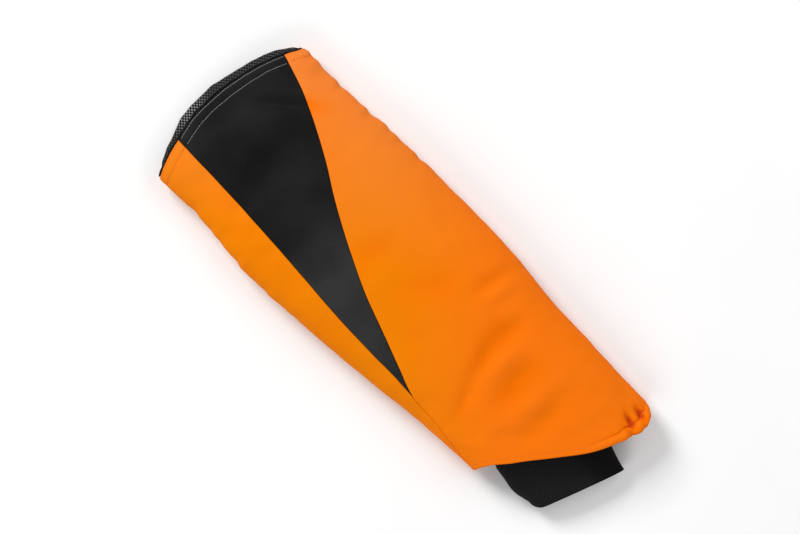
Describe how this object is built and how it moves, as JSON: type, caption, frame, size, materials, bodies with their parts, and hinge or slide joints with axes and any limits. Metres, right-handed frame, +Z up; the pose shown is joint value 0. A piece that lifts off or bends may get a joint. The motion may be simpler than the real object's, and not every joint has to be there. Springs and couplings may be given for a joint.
{
  "type": "arm protector",
  "caption": "Padded forearm sleeve for saw work, open at the elbow, with a dark wedge let into its top, a mesh lining and a knitted cuff inside a slanted wrist hem.",
  "frame": {"origin": "middle of the box, on the surface that the sleeve lies on", "axes": "+X along the sleeve from the elbow mouth to the wrist, +Y towards the fold with the closing seam, +Z up"},
  "size_m": [0.4804, 0.1746, 0.047],
  "materials": {
    "orange_shell": "matt woven orange polyester",
    "black_shell": "matt woven black polyester",
    "mesh_lining": "black and grey open mesh",
    "black_knit": "soft fine-ribbed knit"
  },
  "bodies": {
    "root": {"front_panel": "orange_shell", "wedge_panel": "black_shell", "back_panel": "orange_shell", "lining": "mesh_lining", "cuff": "black_knit"}
  },
  "joints": []
}
